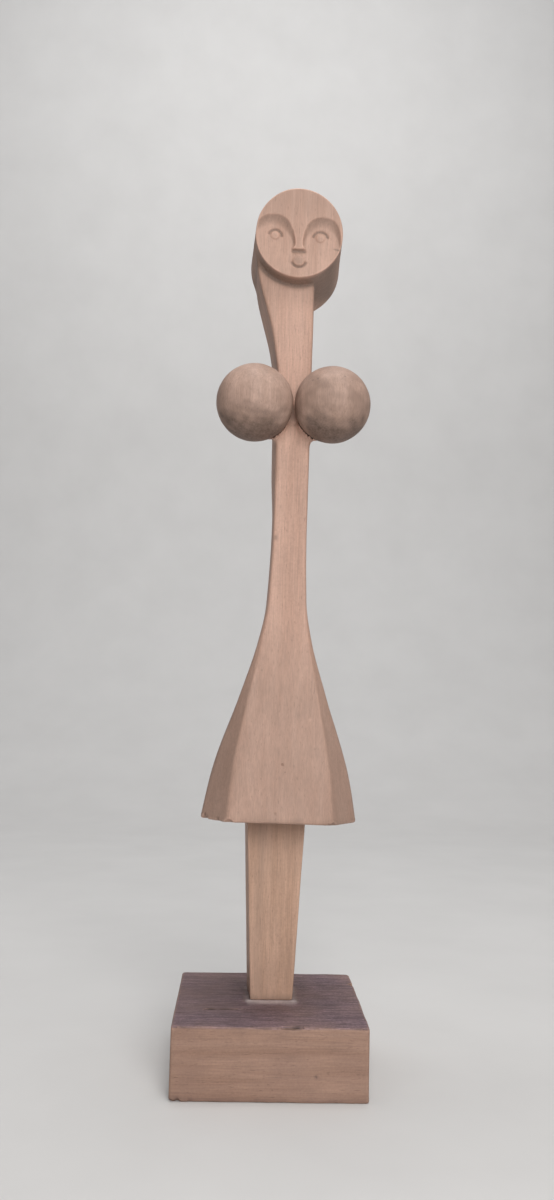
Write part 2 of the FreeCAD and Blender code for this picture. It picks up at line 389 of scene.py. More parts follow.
# a crack across the block's top, and a short split along its front edge: start and length
CRACKS = [((-22.0, -14.0), 13.5), ((3.6, PLINTH_LOW[1] + 0.9), 7.0)]
CRACK_DIRECTION = np.array([0.999, 0.04, 0.0])
CRACK_RADIUS = 0.7


def chips(points, places, stretch):
    """Small splinters missing from the edges."""
    rough = 0.45 * ripple(points, 1.3, 14)
    return np.minimum.reduce([
        np.linalg.norm((points - np.array(place)) * stretch, axis=1) - size + rough
        for *place, size in places
    ])


def saw_lines(points):
    """Fine ridges left by the saw across the block's top, from 0 to 1."""
    return 0.5 + 0.5 * ripple(points * [0.06, 1.0, 1.0], 0.75, 13)


def plinth_field(points):
    """The block, a touch wider at its foot, with softened edges, a few knocks and two cracks."""
    x, y, z = points.T
    middle = (PLINTH_LOW + PLINTH_HIGH) / 2
    half = (PLINTH_HIGH - PLINTH_LOW) / 2 - 0.02
    taper = PLINTH_TAPER * (z - PLINTH_LOW[2]) / (PLINTH_TOP - PLINTH_LOW[2])
    uneven = 0.1 * (1 + ripple(points, 14.0, 12))
    across = np.abs(x - middle[0]) - half[0] + taper + uneven
    along = np.abs(y - middle[1]) - half[1] + taper + uneven
    wear = 0.75 + 0.3 * ripple(points, 5.0, 11)
    block = smooth_max(across, along, wear + 0.5)
    top = z - PLINTH_TOP + 0.04 + 0.09 * saw_lines(points)
    block = smooth_max(block, top, wear)
    block = smooth_max(block, PLINTH_LOW[2] + 0.02 - z, wear)
    for start, length in CRACKS:
        crack = rod(points, np.array([*start, PLINTH_TOP]), CRACK_DIRECTION, length, CRACK_RADIUS)
        block = smooth_max(block, -crack - 0.15 * ripple(points, 1.3, 15), 0.2)
    block = smooth_max(block, -chips(points, PLINTH_CHIPS, CHIP_STRETCH), 0.4)
    return np.maximum(block, -screw_hole(points))


def weathering(points):
    """1 over the block's dark weathered top, paler round the leg's foot and worn away at the edges."""
    x, y, z = points.T
    wander = ripple(points * [0.5, 1, 1], 2.0, 16)
    top = rise(z + 0.15 * wander, PLINTH_TOP - 0.75, PLINTH_TOP - 0.4)
    beside = np.maximum(np.abs(x - FOOT_X), np.abs(y - LEG_Y)) - FOOT_PATCH
    halo = rise(beside + 0.7 * wander, 0.3, 2.6)
    patchy = 0.86 + 0.14 * ripple(points, 9.0, 17)
    return top * (0.7 + 0.3 * halo) * patchy


def foot_dust(points):
    """Pale dust and old glue on the block round the leg's foot, most of it in front."""
    x, y, z = points.T
    beside = np.maximum(np.abs(x - FOOT_X + 0.2) - FOOT_PATCH + 0.4, np.abs(y - LEG_Y) - FOOT_PATCH)
    in_front = rise(LEG_Y - 6.5 - y, 0, 1.5) * rise(9.5 - np.abs(x - FOOT_X), 0, 1.5)
    reach = 1.1 + 2.0 * in_front
    amount = 0.6 + 0.9 * in_front
    patchy = 0.8 + 0.2 * ripple(points, 1.6, 18)
    on_top = rise(z, PLINTH_TOP - 0.8, PLINTH_TOP - 0.4)
    return on_top * hump(beside, reach) * patchy * amount


def plinth_soil(points):
    """More grime on the left of the top, and a nick in the front."""
    x, y, z = points.T
    on_top = rise(z, PLINTH_TOP - 1.2, PLINTH_TOP - 0.5)
    patches = 0.7 + 0.3 * ripple(points * [0.5, 1, 1], 5.0, 19)
    nick = hump(np.hypot(x - 14.8, z - 8.2), 0.5) * rise(-y, 31.0, 31.8)
    return np.maximum(0.4 * on_top * rise(-x, 2, 14) * patches, nick)


def plinth_cracks(points):
    """1 in the dark crack on the top and in the split along its front edge."""
    x, y, z = points.T
    on_top = rise(z, PLINTH_TOP - 1.4, PLINTH_TOP - 0.6)
    ragged = 0.75 + 0.25 * ripple(points, 1.2, 20)
    dark = np.zeros(len(points))
    wander = 0.35 * ripple(points * [1, 0, 0], 2.4, 24)
    for (start_x, start_y), length in CRACKS:
        along = x - start_x
        ends = rise(along, -0.8, 2) * rise(length - along, -0.8, 2)
        line = hump(y - start_y - CRACK_DIRECTION[1] * along - wander, 0.95)
        dark = np.maximum(dark, line * ends)
    return on_top * dark * ragged


# ---------------------------------------------------------------- leg

# the leg's left side stands this much further out at the back than at the front
LEG_SPLAY = 1.0
# how far the lean carries the leg's top to the right
LEG_RISE = (HEM_Z - PLINTH_TOP) * math.sin(LEAN)
FOOT_LEFT, FOOT_RIGHT, FOOT_DEPTH = -7.75, 7.4, 15.0
LEG_TOP_LEFT = LEG_LOW[0] - FOOT_X - LEG_RISE + LEG_SPLAY
LEG_TOP_RIGHT = LEG_HIGH[0] - FOOT_X - LEG_RISE
LEG_TOP_DEPTH = LEG_HIGH[1] - LEG_LOW[1]
TENON_RADIUS, TENON_LENGTH = 6.0, 22.0
GLUE_GAP = 0.05
END_GAP = 0.3


def leg_field(points):
    """The post that widens upwards, its tenon, and the screw's hole in its foot."""
    p = upright(points)
    x, y, z = p.T
    share = (z - PLINTH_TOP) / (HEM_Z - PLINTH_TOP)
    drift = 0.11 * ripple(p * [1, 1, 0.25], 6.0, 21)
    half_y = (FOOT_DEPTH + share * (LEG_TOP_DEPTH - FOOT_DEPTH)) / 2
    backness = np.clip((y - LEG_Y + half_y) / (2 * half_y), 0, 1)
    left = FOOT_LEFT + share * (LEG_TOP_LEFT - FOOT_LEFT) - LEG_SPLAY * backness
    right = FOOT_RIGHT + share * (LEG_TOP_RIGHT - FOOT_RIGHT)
    across = np.maximum(left - x, x - right) + drift + 0.2
    along = np.abs(y - LEG_Y) - half_y - drift + 0.2
    edge = 0.7 + 0.25 * ripple(p, 5.0, 22)
    sides = smooth_max(across, along, edge)
    post = np.maximum(sides, np.maximum(z - HEM_Z + GLUE_GAP, PLINTH_TOP - points[:, 2]))
    tenon = rod(p, np.array([0, LEG_Y, HEM_Z - 1]), UP, TENON_LENGTH + 1, TENON_RADIUS)
    pilot_foot = np.array([FOOT_X, LEG_Y, 0.0])
    pilot = rod(points, pilot_foot, UP, SCREW_HIGH[2] + END_GAP, SCREW_RADIUS + GLUE_GAP)
    return np.maximum(np.minimum(post, tenon), -pilot)


def leg_dirt_and_hem_shadow(points):
    """Grime where the leg stands on the block, painted shadow under the hem, and a long stain up one
    side.
    """
    stain = hump(points[:, 0] + 3.5 + ripple(points, 9.0, 23), 1.6) * 0.25
    # Painted shadow of the skirt's hem on the leg's top.
    shaded = 0.2 * rise(points[:, 2], HEM_Z - 30, HEM_Z)
    return np.maximum(0.4 * rise(PLINTH_TOP + 2.5 - points[:, 2], 0, 2.5), stain + shaded)


# ---------------------------------------------------------------- head and face
# Heights on the face are measured from the head's centre.

FACE_HALF_WIDTH, FACE_HALF_HEIGHT = 15.96, 16.9
# the face's outline lies a touch above the head's centre, and the drum's back below it
FACE_LIFT = 0.3
BACK_GROWTH, BACK_DROP = 1.5, 1.0

# The forehead and the nose stand forward as a T. Its lower outline runs from the viewer's left
# along one brow, down the nose, across its tip and back up along the other brow.
T_OUTLINE = [
    (-19.0, 2.0), (-16.2, 3.7), (-14.4, 5.3), (-12.2, 6.7), (-9.4, 7.05), (-6.6, 6.7), (-4.6, 5.4),
    (-3.2, 3.4), (-2.2, 1.0), (-1.6, -1.5), (-1.35, -3.8), (-1.6, -4.9), (-2.4, -5.9),
    (2.3, -5.9), (1.6, -4.9), (1.35, -3.6), (1.5, -1.2), (2.0, 1.2), (2.9, 3.6), (4.6, 5.5),
    (7.7, 6.6), (11.2, 6.2), (13.4, 4.8), (14.6, 2.4), (15.2, -0.5), (15.3, -3.5), (16.0, -5.5),
    (19.0, -6.0),
]
BROW_TOP, NOSE_TIP = 6.9, -5.9
BROW_DEPTH, CHIN_DEPTH = 1.85, 0.2
# each eye: x, height, lid radius, and the angles where its lid groove starts and ends
EYES = [(-8.8, -0.7, 2.35, 160.0, 0.0), (7.8, -1.2, 2.7, 165.0, 15.0)]
EYE_RADIUS = 1.5
MOUTH = (0.15, -10.3)
MOUTH_RADIUS, MOUTH_FLATNESS = 2.15, 1.15
# how far the eyes and lips swell forward, and how deep the grooves round them are cut
EYE_SWELL, LID_DEPTH = 0.5, 0.5
LIP_SWELL, LIP_GROOVE_DEPTH = 0.55, 0.4
NOSTRIL_DEPTH = 0.45
# a nick in the face's right rim: x, height, size, and how it is squeezed along x, y and z
RIM_NOTCH = (14.6, -5.4)
NOTCH_SIZE = 0.8
NOTCH_SQUEEZE = [0.6, 0.8, 1.5]


def rounded(path):
    """The path with its corners cut twice."""
    path = np.array(path)
    for _ in range(2):
        near, far = 0.75 * path[:-1] + 0.25 * path[1:], 0.25 * path[:-1] + 0.75 * path[1:]
        path = np.concatenate([path[:1], np.stack([near, far], axis=1).reshape(-1, 2), path[-1:]])
    return path


T_PATH = rounded(T_OUTLINE)


def off_the_t(x, height):
    """Distance below or beside the T of forehead and nose: negative on it, positive on the cheeks."""
    nearest = np.full(len(x), FAR)
    crossings = np.zeros(len(x), int)
    for (x0, h0), (x1, h1) in zip(T_PATH, T_PATH[1:]):
        dx, dh = x1 - x0, h1 - h0
        share = np.clip(((x - x0) * dx + (height - h0) * dh) / (dx * dx + dh * dh), 0, 1)
        nearest = np.minimum(nearest, np.hypot(x - x0 - share * dx, height - h0 - share * dh))
        spans = (x0 <= x) != (x1 <= x)
        crossings += spans & (height < h0 + (x - x0) * dh / (dx if dx else 1.0))
    return np.where(crossings % 2 == 1, nearest, -nearest)


def lid_groove(x, height, centre, radius, width, start, end):
    """1 along a groove that bends round a centre, between two angles in degrees."""
    dx, dz = x - centre[0], height - centre[1]
    turned = (np.degrees(np.arctan2(dz, dx)) - (start + end) / 2 + 180) % 360 - 180
    past = np.maximum(np.abs(turned) - (start - end) / 2, 0)
    return hump(np.hypot(dx, dz) - radius, width) * hump(past, 14.0)


def dome(out, radius):
    """A low round swelling, 1 in its middle."""
    return np.sqrt(np.clip(1.15 - (out / radius) ** 2, 0, 1))


def cheek_marks(x, height):
    """(depth, darkening) of the hollows beside and below the T of forehead and nose; the darkening along
    the brows, beside the nose and under its tip is painted shade with grime.
    """
    off = off_the_t(x, height)
    at_brow = rise(height, -3, 5)
    scoop = np.clip(off + 0.15, 0, None) / (1.0 + 3.6 * at_brow)
    wall = np.where(scoop < 1, 1 - (1 - np.minimum(scoop, 1)) ** 2, 1.0)
    share = np.clip((height + FACE_HALF_HEIGHT) / (BROW_TOP + FACE_HALF_HEIGHT), 0, 1.1)
    slant = CHIN_DEPTH + share * (BROW_DEPTH - CHIN_DEPTH)
    beside = rise(height, NOSE_TIP - 1.0, NOSE_TIP + 3.0)
    depth = slant * wall
    # Painted shade with grime along the brows and down the nose's sides.
    dirt_and_shade = (0.5 + 0.12 * at_brow) * hump(off - 0.5, 1.0 + 2.4 * at_brow) * beside * rise(off, -0.3, 0.5)
    # Painted shade under the nose tip.
    nostrils = hump(NOSE_TIP - height - 0.6, 0.75) * rise(3.2 - np.abs(x), 0, 1.0)
    return depth + NOSTRIL_DEPTH * nostrils, np.maximum(dirt_and_shade, 0.9 * nostrils)


def face_marks(x, height):
    """(depth, darkening): how deep the carved face lies behind its flat front, and its darkening: grime,
    and painted shade in the hollows and grooves.
    """
    depth, dirt_and_shade = cheek_marks(x, height)
    for cx, cz, lid_radius, start, end in EYES:
        out = np.hypot(x - cx, height - cz)
        groove = lid_groove(x, height, (cx, cz), lid_radius, 0.55, start, end)
        depth = depth - EYE_SWELL * dome(out, EYE_RADIUS) + LID_DEPTH * groove
        # The lid grooves darkened: painted shade with grime.
        dirt_and_shade = np.maximum(dirt_and_shade, 0.95 * groove) * (1 - 0.6 * rise(EYE_RADIUS + 0.2 - out, 0, 0.6))
    flat_height = MOUTH[1] + (height - MOUTH[1]) * MOUTH_FLATNESS
    lips = np.hypot(x - MOUTH[0], flat_height - MOUTH[1])
    groove = lid_groove(x, flat_height, MOUTH, MOUTH_RADIUS + 0.4, 0.6, -15.0, -165.0)
    depth = depth - LIP_SWELL * dome(lips, MOUTH_RADIUS) + LIP_GROOVE_DEPTH * groove
    dirt_and_shade = np.maximum(dirt_and_shade, 0.5 * rise(MOUTH_RADIUS + 0.6 - lips, 0, 1.0))
    # The groove round the lips darkened: painted shade with grime.
    dirt_and_shade = np.maximum(dirt_and_shade, 0.95 * groove)
    return depth, dirt_and_shade


def head_field(p):
    """A short drum lying along y, a little larger at the back, with the face on its front."""
    x, y, z = p.T
    share = np.clip((y - FACE_Y) / HEAD_DEPTH, -0.1, 1.1)
    half_width = FACE_HALF_WIDTH + share * BACK_GROWTH
    half_height = FACE_HALF_HEIGHT + share * BACK_GROWTH
    height = z - HEAD_Z - FACE_LIFT + share * BACK_DROP
    ratio = np.hypot(x / half_width, height / half_height)
    wobble = 0.09 * (1 + ripple(p * [1, 0.3, 1], 5.0, 31))
    side = (ratio - 1) * half_width + wobble
    front = FACE_Y - y
    carved = (y < FACE_Y + 6) & (ratio < 1.2)
    front[carved] += face_marks(x[carved], z[carved] - HEAD_Z)[0]
    rim = 0.34 + 0.14 * ripple(p, 4.0, 32)
    back = y - FACE_Y - HEAD_DEPTH + 0.1 * (1 + ripple(p, 8.0, 33))
    drum = smooth_max(smooth_max(side, front, rim), back, 1.6)
    notch_place = [RIM_NOTCH[0], FACE_Y, HEAD_Z + RIM_NOTCH[1]]
    notch = np.linalg.norm((p - notch_place) * NOTCH_SQUEEZE, axis=1) - NOTCH_SIZE
    return smooth_max(drum, -notch, 0.3)


# ---------------------------------------------------------------- skirt, waist, chest and neck

# curves of height: the half width, how far the middle bows to the right, the neck's flare on the
# left, the front and back planes, and how much of each corner is cut away
HALF_WIDTH = curve([
    (85.6, 27.4), (102, 24.2), (129, 15.3), (148, 9.6), (163, 7.0), (190, 6.15), (300, 6.6)
])
SWAY = curve([(85.6, 0.0), (140, 0.1), (166, 0.4), (205, 0.6), (240, 0.3), (297, 0.0)])
FLARE = curve([(247, 0.0), (261, 2.2), (286, 8.4), (297, 9.4)])
FRONT_Y = curve([
    (85.6, -20.0), (129, -13.6), (163, -10.3), (216, -10.0), (236, -8.2), (300, -8.0)
])
BACK_Y = curve([
    (85.6, 28.0), (129, 18.5), (160, 13.5), (190, 15.0), (225, 20.5), (255, 20.0), (300, 17.0)
])
CORNER = curve([(85.6, 9.3), (102, 7.5), (129, 3.3), (150, 1.1), (170, 0.7), (300, 0.7)])
CORNER_SLOPE = 1.2
# the chest's left side stands further out at the back than at the front
CHEST_SPLAY = 0.8

# chips out of the hem, in the figure's own frame: x, y, z, size
HEM_CHIPS = [
    (-27.2, -6.5, HEM_Z, 1.3),
    (-25.6, -10.6, HEM_Z, 1.2),
    (-21.6, -15.6, HEM_Z, 0.8),
    (-18.4, -19.2, HEM_Z, 1.1),
    (-9.0, -20.2, HEM_Z, 0.6),
    (18.3, -19.4, HEM_Z, 0.8),
    (25.4, -11.5, HEM_Z, 0.9),
    (4.0, 28.0, HEM_Z, 1.2),
    (24.0, 15.0, HEM_Z, 1.0),
]
HEM_CHIP_STRETCH = [0.6, 0.9, 1.0]
HEM_CORNER = np.array([30, 30, 0])
HEM_MIDDLE = np.array([0, 0, HEM_Z - 3])

# specks and pricks in the wood, in the figure's own frame: x, y, z, size
SPECKS = [
    (-4.8, -10.2, 185.2, 0.6),
    (0.3, -16.8, 105.4, 0.45),
    (3.1, -17.0, 103.8, 0.18),
    (5.5, -17.4, 101.2, 0.18),
    (1.3, -17.2, 102.9, 0.18),
    (4.4, -16.9, 104.9, 0.18),
    (-0.6, -17.5, 101.0, 0.18),
    (-1.6, -19.4, 89.1, 0.45),
    (-13.0, -17.0, 93.0, 0.35),
    (9.5, -14.0, 121.0, 0.3),
]
# the balls' seats run into the chest with a fillet, wider under the balls
SEAT_FILLET, FILLET_GROWTH = 0.9, 3.2


def body_field(p):
    """The faceted skirt that narrows to the waist, the chest, and the neck with its one flare."""
    x, y, z = p.T
    x = x - SWAY(z)
    half = HALF_WIDTH(z)
    streak = ripple(p * [1, 1, 0.12], 2.6, 41)
    plane = 0.09 * ripple(p * [1, 1, 0.35], 9.0, 42)
    splay = CHEST_SPLAY * rise(z, 194, 214) * rise(248 - z, 0, 16) * rise(y - FRONT_Y(z), 0, 9)
    across = np.maximum(-x - half - FLARE(z) - splay, x - half) + plane + 0.035 * streak + 0.08
    along = np.maximum(FRONT_Y(z) - y, y - BACK_Y(z)) - plane + 0.035 * streak + 0.08
    corner = CORNER(z)
    cut = (CORNER_SLOPE * (across + corner) + along) / math.hypot(CORNER_SLOPE, 1) - 0.5 * plane
    skirt = rise(130 - z, 0, 30)
    edge = 0.55 + 0.5 * skirt + 0.2 * ripple(p, 5.0, 43)
    body = smooth_max(smooth_max(across, along, edge), cut, edge)
    hem_edge = 1.0 + 0.35 * ripple(p, 3.5, 44)
    body = smooth_max(body, HEM_Z + 0.1 - z + 0.06 * streak, hem_edge)
    return smooth_max(body, z - HEAD_Z, 6.0)


def all_hem_chips(p):
    return chips(p, HEM_CHIPS, HEM_CHIP_STRETCH)


hem_chips = only_near(all_hem_chips, HEM_MIDDLE - HEM_CORNER, HEM_MIDDLE + HEM_CORNER)
near_head = only_near(head_field, np.array([-18, -14, HEAD_Z - 18]), np.array([18, 18, HEAD_Z + 18]))

# ---------------------------------------------------------------- pegs, and the whole figure

PEG_RADIUS = (PEG_HIGH[2] - PEG_LOW[2]) / 2
PEG_ANGLE = math.radians(46)
PEG_IN_BALL, PEG_IN_CHEST = 6.0, 4.0


def peg_hole(points, centre, radius):
    """The hole for a ball's peg: from inside the ball back and towards the middle of the chest."""
    inward = -math.copysign(math.cos(PEG_ANGLE), centre[0] - LEG_TOP_X)
    direction = np.array([inward * math.cos(LEAN), math.sin(PEG_ANGLE), -inward * math.sin(LEAN)])
    start = centre + direction * (radius - PEG_IN_BALL - END_GAP)
    return rod(points, start, direction, PEG_IN_BALL + PEG_IN_CHEST + 2 * END_GAP, PEG_RADIUS - 0.01)


def figure_field(points):
    """The whole billet: body and head, less the balls' seats, their peg holes and the leg's socket."""
    p = upright(points)
    figure = smooth_min(body_field(p), near_head(p), 0.8)
    for centre, radius in BALLS:
        seat = sphere(points, centre, radius + GLUE_GAP)
        fillet = SEAT_FILLET + FILLET_GROWTH * rise(centre[2] - 4 - points[:, 2], 0, 4)
        figure = smooth_max(smooth_min(figure, seat, fillet), -seat, 0.12)
        figure = np.maximum(figure, -peg_hole(points, centre, radius))
    figure = smooth_max(figure, -hem_chips(p), 0.3)
    for x, y, z, size in SPECKS:
        prick = sphere(p, np.array([x, y, z]), size)
        figure = smooth_max(figure, -prick, 0.15)
    socket_foot = np.array([0, LEG_Y, HEM_Z - 2])
    socket = rod(p, socket_foot, UP, TENON_LENGTH + END_GAP + 2, TENON_RADIUS + GLUE_GAP)
    return np.maximum(figure, -socket)


def carving_dirt_and_shade(p):
    """Painted shade with grime in the carving of the face and in the nick in its rim, and grime in the
    specks.
    """
    x, y, z = p.T
    soil_and_shade = np.zeros(len(p))
    face = (y < FACE_Y + 4) & (z > HEAD_Z - 17)
    soil_and_shade[face] = face_marks(x[face], z[face] - HEAD_Z)[1]
    notch_rise = z - HEAD_Z - RIM_NOTCH[1] + 0.2 * (x - RIM_NOTCH[0])
    notch = hump(notch_rise, 0.45) * rise(x, RIM_NOTCH[0] - 3, RIM_NOTCH[0] - 1) * (y < FACE_Y + 3)
    soil_and_shade = np.maximum(soil_and_shade, 0.9 * notch)
    for sx, sy, sz, size in SPECKS:
        soil_and_shade = np.maximum(soil_and_shade, 0.9 * hump(np.linalg.norm(p - [sx, sy, sz], axis=1), size + 0.25))
    return soil_and_shade


def skirt_facet_shade_and_darkening(p):
    """The skirt darker lower down and along the hem, with painted shade on its side facets."""
    x, y, z = p.T
    low_down = rise(150 - z, 0, 40)
    # Painted shade on the skirt's side facets.
    left_facet_shade = rise(-x - HALF_WIDTH(z) + CORNER(z), -0.3, 0.5) * low_down
    right_facet_shade = rise(x - HALF_WIDTH(z) + CORNER(z), -0.3, 0.5) * low_down
    hem = rise(HEM_Z + 2.2 - z + ripple(p, 3.0, 46), 0, 2.5)
    patches = 0.5 + 0.5 * ripple(p, 12.0, 47)
    skirt = rise(168 - z, 0, 45)
    return 0.22 * left_facet_shade + 0.18 * right_facet_shade + 0.35 * hem * patches + 0.36 * skirt


def head_shade_and_darkening(p):
    """Painted shadow on the neck under the chin, painted shade on the drum's underside, and the head a
    little darker overall, more so on its forehead.
    """
    x, y, z = p.T
    # Painted shadow of the chin on the neck.
    chin_shadow = rise(z, HEAD_Z - 28, HEAD_Z - 18) * rise(FACE_Y + 14 - y, 0, 4)
    crown = rise(z, HEAD_Z + 4, HEAD_Z + 13) * (y < FACE_Y + 2)
    radius = np.hypot(x, z - HEAD_Z)
    # Painted shade on the drum's underside.
    drum = rise(radius, 14.5, 16.0) * rise(18.6 - radius, 0, 0.9)
    drum *= rise(y, FACE_Y + 0.8, FACE_Y + 3) * rise(HEAD_Z - 4 - z, 0, 8)
    head = rise(z, HEAD_Z - 24, HEAD_Z - 14)
    return 0.25 * chin_shadow * (1 - head) + 0.22 * head + 0.14 * crown + 0.6 * drum


def figure_dirt_and_shade(points):
    """All the darkening on the figure: grime and painted shade in its carving, on the skirt and round
    the head.
    """
    p = upright(points)
    return np.maximum(carving_dirt_and_shade(p), skirt_facet_shade_and_darkening(p) + head_shade_and_darkening(p))


# ---------------------------------------------------------------- balls


def ball_field(centre, radius, seed):
    """A turned ball, barely out of round, with its peg hole."""

    def field(points):
        uneven = 0.05 * (1 + ripple(points, 6.0, seed)) + 0.02 * (1 + ripple(points, 1.2, seed + 1))
        return np.maximum(sphere(points, centre, radius) + uneven, -peg_hole(points, centre, radius))

    return field


# small pores high on the right ball, as directions from its centre
PORES = [(-0.57, -0.70, 0.43), (-0.45, -0.77, 0.46), (0.25, -0.82, 0.52)]


def ball_dirt_and_underside_shade(centre, radius, grime, pores, seed):
    """Handling grime in blotches, with painted shade that darkens the underside, and a few pores."""

    def soil_and_shade(points):
        height = (points[:, 2] - centre[2]) / radius
        blotches = 0.5 * ripple(points, 2.6, seed) + 0.35 * ripple(points, 1.1, seed + 1)
        # Darker towards the underside: painted shade, with handling grime in blotches.
        dirt_and_shade = rise(-0.1 - height + 0.25 * blotches, 0.0, 0.8) * (0.85 + 0.15 * blotches)
        dirt_and_shade = np.maximum(dirt_and_shade, grime * (1 + 1.2 * blotches))
        for pore in pores:
            place = centre + radius * np.array(pore) / np.linalg.norm(pore)
            dirt_and_shade = np.maximum(dirt_and_shade, hump(np.linalg.norm(points - place, axis=1), 0.45))
        return np.clip(dirt_and_shade, 0, 1)

    return soil_and_shade


NODE_FIELDS = [
    only_near(plinth_field, PLINTH_LOW, PLINTH_HIGH),
    only_near(leg_field, LEG_LOW, LEG_HIGH),
    only_near(figure_field, FIGURE_LOW, FIGURE_HIGH),
]


def everything(points):
    """All the wood and the floor together, to find the corners that the materials darken as painted
    shade.
    """
    balls = [sphere(points, centre, radius) for centre, radius in BALLS]
    return np.minimum.reduce([field(points) for field in NODE_FIELDS] + balls + [points[:, 2]])


# ---------------------------------------------------------------- materials


# the numbers of a Mix node's sockets when it mixes colours
MIX_SHARE, MIX_A, MIX_B, MIX_RESULT = 0, 6, 7, 2


class Tree:
    """Short ways to add the nodes of one material."""

    def __init__(self, name):
        self.material = bpy.data.materials.new(name)
        self.material.use_nodes = True
        self.tree = self.material.node_tree
        self.tree.nodes.clear()
        self.surface = self.add("ShaderNodeBsdfPrincipled")
        output = self.add("ShaderNodeOutputMaterial")
        self.tree.links.new(self.surface.outputs["BSDF"], output.inputs["Surface"])

    def add(self, kind, inputs=None, **settings):
        node = self.tree.nodes.new(kind)
        for key, value in settings.items():
            setattr(node, key, value)
        for key, value in (inputs or {}).items():
            self.put(node.inputs[key], value)
        return node

    def put(self, socket, value):
        if isinstance(value, bpy.types.NodeSocket):
            self.tree.links.new(value, socket)
        else:
            socket.default_value = value

    def noise(self, size, detail=3.0, roughness=0.55, distortion=0.0):
        """Noise whose features measure size millimetres along the piece's x, y and z."""
        place = self.add("ShaderNodeTexCoord").outputs["Object"]
        scale = [1 / (s * MM) for s in size]
        scaled = self.add("ShaderNodeMapping", {"Vector": place, "Scale": scale}).outputs["Vector"]
        settings = {"Scale": 1.0, "Detail": detail, "Roughness": roughness, "Distortion": distortion}
        return self.add("ShaderNodeTexNoise", {"Vector": scaled, **settings}).outputs["Fac"]

    def attribute(self, name):
        return self.add("ShaderNodeAttribute", attribute_name=name).outputs["Fac"]

    def remap(self, value, low, high, to_low=0.0, to_high=1.0):
        inputs = {"Value": value, "From Min": low, "From Max": high, "To Min": to_low, "To Max": to_high}
        return self.add("ShaderNodeMapRange", inputs).outputs["Result"]

    def times(self, a, b):
        return self.add("ShaderNodeMath", {0: a, 1: b}, operation="MULTIPLY").outputs[0]

    def plus(self, a, b):
        return self.add("ShaderNodeMath", {0: a, 1: b}, operation="ADD").outputs[0]

    def mix(self, share, a, b, blend="MIX"):
        inputs = {MIX_SHARE: share, MIX_A: a, MIX_B: b}
        node = self.add("ShaderNodeMix", inputs, data_type="RGBA", blend_type=blend)
        return node.outputs[MIX_RESULT]

    def shade(self, colour, value):
        """The colour made lighter or darker by a factor."""
        grey = self.add("ShaderNodeCombineColor", {0: value, 1: value, 2: value}).outputs[0]
        return self.mix(1.0, colour, grey, "MULTIPLY")

    def bump(self, height, distance_mm, strength=1.0, normal=None):
        inputs = {"Height": height, "Distance": distance_mm * MM, "Strength": strength}
        if normal is not None:
            inputs["Normal"] = normal
        return self.add("ShaderNodeBump", inputs).outputs["Normal"]


def rgba(colour, factor=1.0):
    return (*[min(1.0, factor * c) for c in colour], 1.0)


# the figure's and the leg's grime colour, also used for their painted shade and shadow
GRIME_AND_SHADE = (0.168, 0.125, 0.1)
DUST = (0.58, 0.49, 0.48)
IN_CRACKS = (0.03, 0.019, 0.018)
WEATHERED = (0.1, 0.066, 0.077)


def weathered_skin(t, share, speckle, colour):
    """Old grey-brown wood over the fresh, streaked and torn along the saw's path: colour, relief."""
    lines = t.noise([22.0, 0.3, 5.0], 4.0, 0.7)
    tears = t.noise([5.0, 0.22, 3.0], 3.0, 0.7)
    old = t.mix(t.remap(lines, 0.42, 0.57), rgba(WEATHERED, 0.65), rgba(WEATHERED, 2.4))
    old = t.mix(t.remap(tears, 0.55, 0.63, 0.0, 0.8), old, rgba(WEATHERED, 3.6))
    old = t.mix(t.remap(tears, 0.45, 0.37, 0.0, 0.8), old, rgba(WEATHERED, 0.3))
    old = t.shade(old, t.remap(speckle, 0.3, 0.7, 0.65, 1.35))
    return t.mix(share, colour, old), t.times(t.times(lines, share), 3.0)


